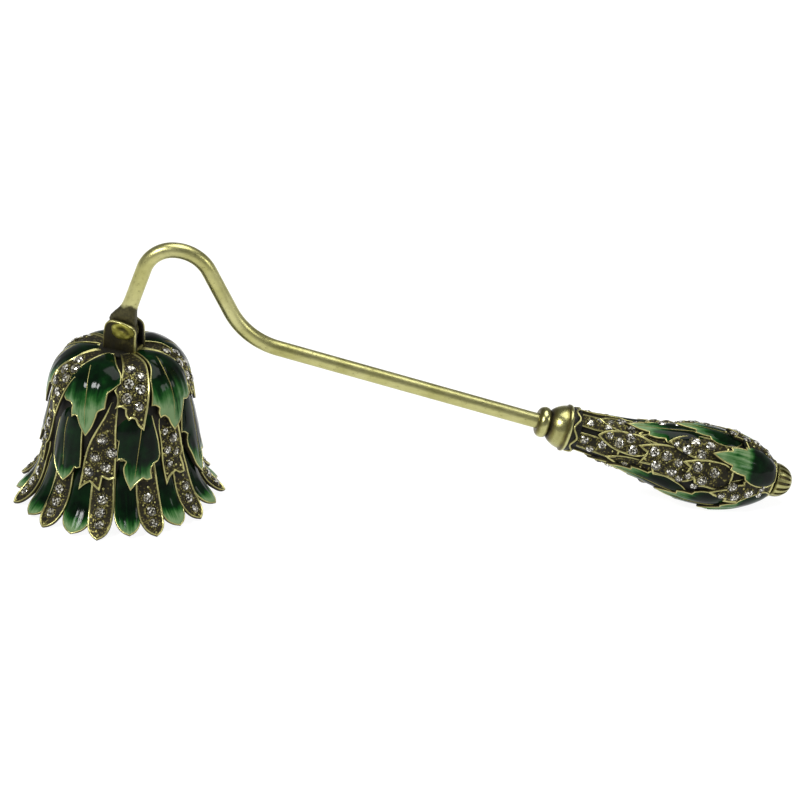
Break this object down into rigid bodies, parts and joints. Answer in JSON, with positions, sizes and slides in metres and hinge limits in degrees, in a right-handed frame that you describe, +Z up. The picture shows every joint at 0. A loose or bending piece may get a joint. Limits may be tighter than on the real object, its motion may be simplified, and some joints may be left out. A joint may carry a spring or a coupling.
{
  "type": "candle snuffer",
  "caption": "Candle snuffer: leaf-covered bell cup swinging on a pinned fork, bent brass rod, and tapering leaf-covered handle with turned ferrule and fluted end cap.",
  "frame": {"origin": "middle of the footprint on the table plane the object rests on: under the petal tips of the bell and the handle's lowest point", "axes": "+X from the bell along the rod to the handle's end cap, +Z up along the bell's own axis, +Y across"},
  "size_m": [0.1786, 0.0472, 0.0622],
  "materials": {
    "antique_brass": "dark antique patina with worn bright edges",
    "polished_brass": "polished, patina in the grooves",
    "satin_brass": "satin",
    "green_enamel": "glossy, dark at the root and pale at the tip",
    "crystal": "faceted, clear, foiled dark behind"
  },
  "bodies": {
    "stem": {"stem_rod": "satin_brass", "ferrule_ring": "polished_brass", "ferrule_cup": "polished_brass", "handle_calyx": "antique_brass", "handle_casting": "antique_brass", "handle_enamel_rear": "green_enamel", "handle_enamel_middle": "green_enamel", "handle_enamel_front": "green_enamel", "handle_crystals_rear": "crystal", "handle_crystals_middle": "crystal", "handle_crystals_front": "crystal", "end_cap": "polished_brass", "cap_stud": "satin_brass"},
    "bell": {"bell_casting": "antique_brass", "bell_enamel_upper": "green_enamel", "bell_enamel_middle": "green_enamel", "bell_enamel_rim": "green_enamel", "bell_crystals_upper": "crystal", "bell_crystals_middle": "crystal", "bell_crystals_rim": "crystal", "hinge_fork": "antique_brass", "fork_nut": "antique_brass", "hinge_pin": "polished_brass"}
  },
  "joints": [
    {"name": "bell_hinge", "type": "hinge", "parent": "stem", "child": "bell", "pos_m": [-0.06525, 0, 0.041], "axis": [0.4226, 0.9063, 0], "range_deg": [-45, 75]}
  ]
}
